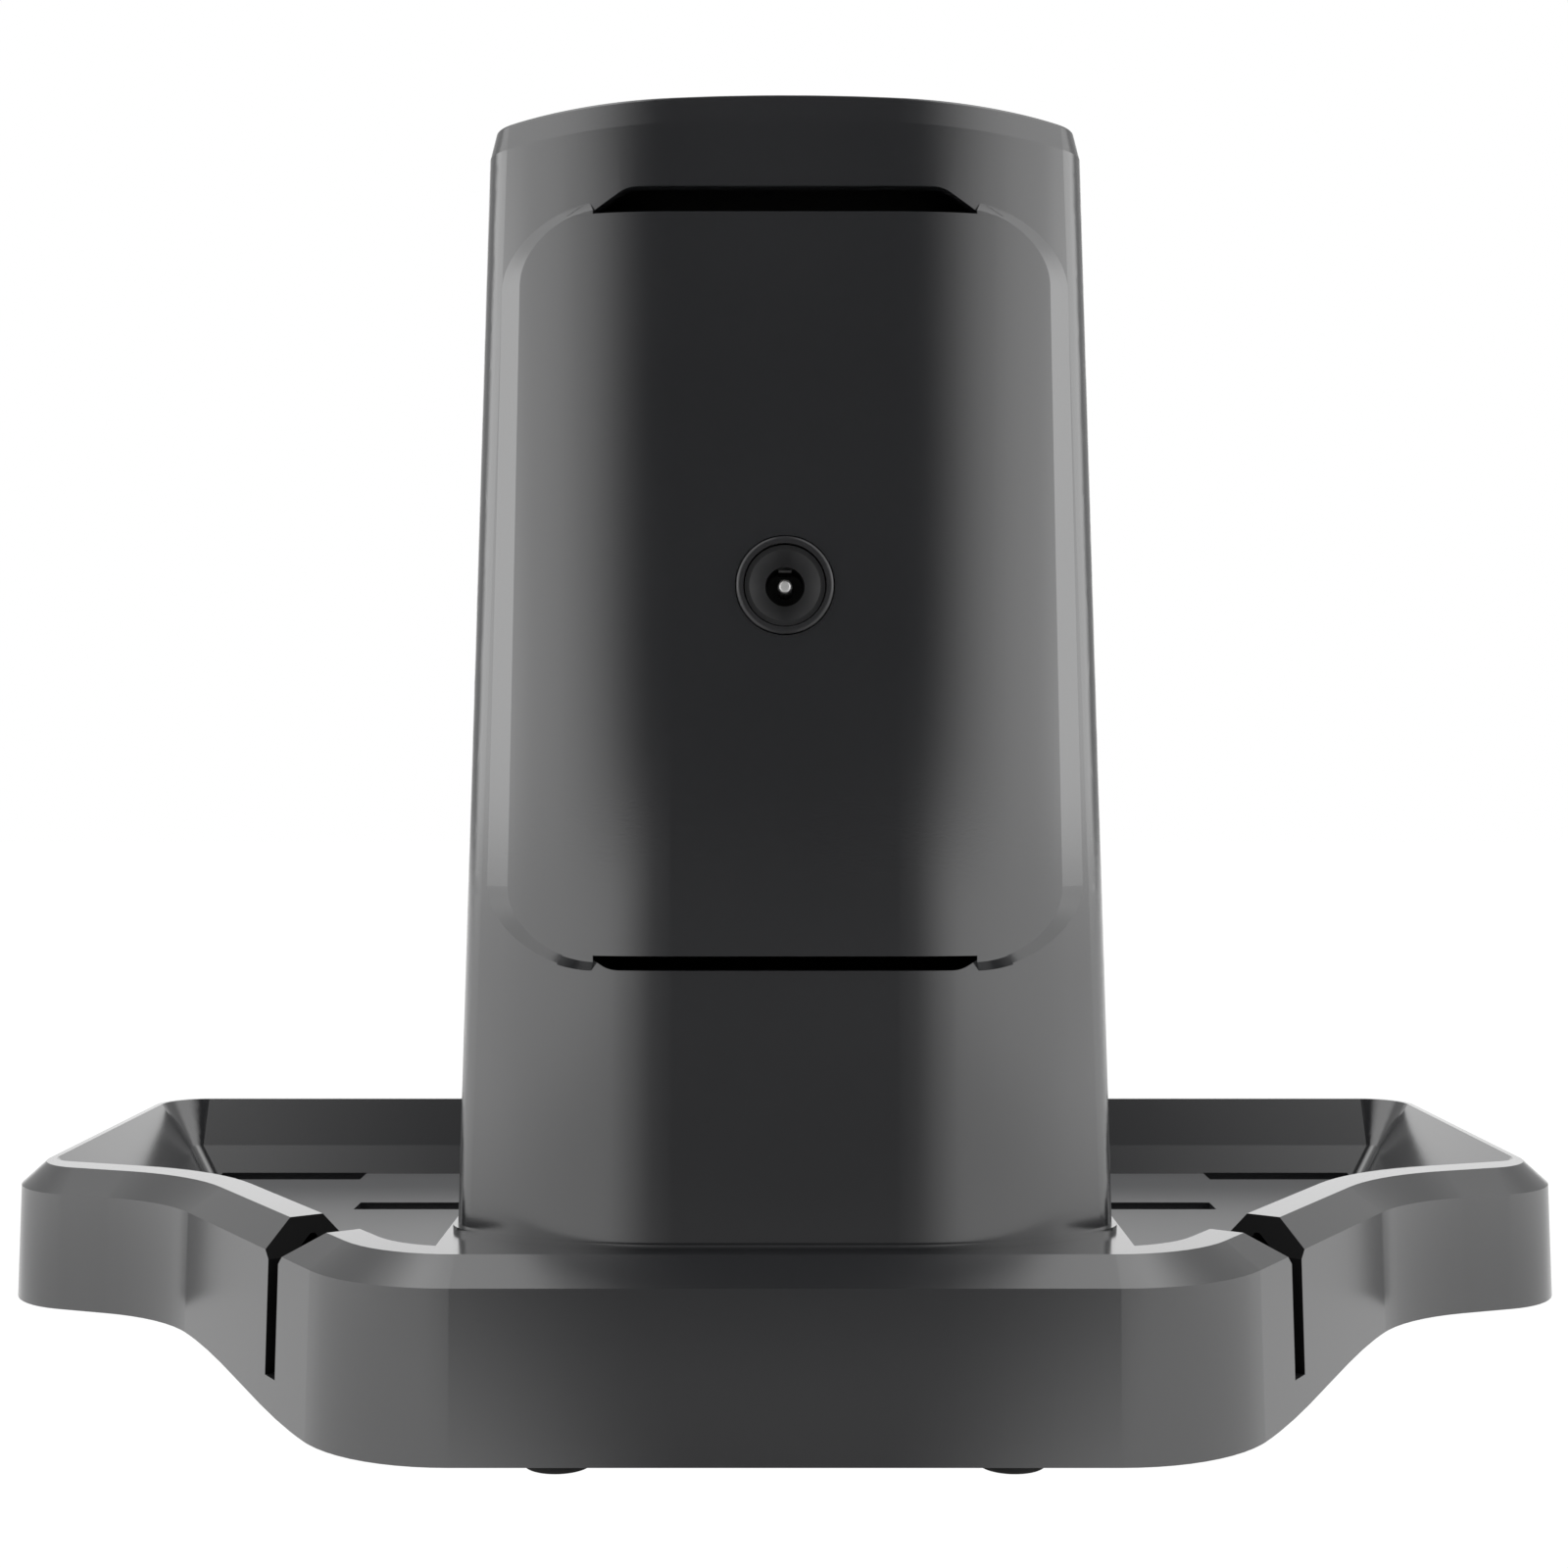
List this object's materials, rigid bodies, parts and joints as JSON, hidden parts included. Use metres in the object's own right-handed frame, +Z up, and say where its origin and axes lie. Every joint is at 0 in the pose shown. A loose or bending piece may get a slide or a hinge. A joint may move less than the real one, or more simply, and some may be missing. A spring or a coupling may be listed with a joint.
{
  "type": "cordless vacuum charging base",
  "caption": "Floor charging base for a cordless vacuum: a winged tray with a charging tower, a round power jack in its rear panel and lead slits in the skirt.",
  "frame": {"origin": "on the floor, under the middle of the tray's box", "axes": "+X along the tray's width, +Y from the rear edge with the jack to the open front, +Z up"},
  "size_m": [0.2994, 0.1838, 0.216],
  "materials": {
    "dark_plastic": "satin dark grey moulding with a fine spark texture",
    "black_plastic": "plain black moulding",
    "gloss_black": "glossy black moulding",
    "foot_rubber": "matt black rubber",
    "bright_metal": "bright nickel plate",
    "stud_brass": "gold-coloured contact plate",
    "board_laminate": "green solder mask on laminate",
    "connector_nylon": "natural nylon",
    "lead_red": "red insulation",
    "lead_black": "black insulation",
    "screw_steel": "zinc-plated steel"
  },
  "bodies": {
    "root": {"base_tray": "dark_plastic", "bottom_cover": "black_plastic", "foot_rear_left": "foot_rubber", "foot_rear_right": "foot_rubber", "foot_far_left": "foot_rubber", "foot_far_right": "foot_rubber", "tower_rear_shell": "dark_plastic", "tower_front_cover": "dark_plastic", "rear_panel": "dark_plastic", "dc_jack_bezel": "gloss_black", "dc_jack_body": "black_plastic", "dc_jack_pin": "bright_metal", "dc_jack_spring": "bright_metal", "contact_block": "black_plastic", "charging_pin_left": "stud_brass", "charging_pin_right": "stud_brass", "charging_board": "board_laminate", "lead_connector": "connector_nylon", "lead_positive": "lead_red", "lead_negative": "lead_black", "tower_screws": "screw_steel", "cover_screws": "screw_steel", "board_screws": "screw_steel"}
  },
  "joints": []
}
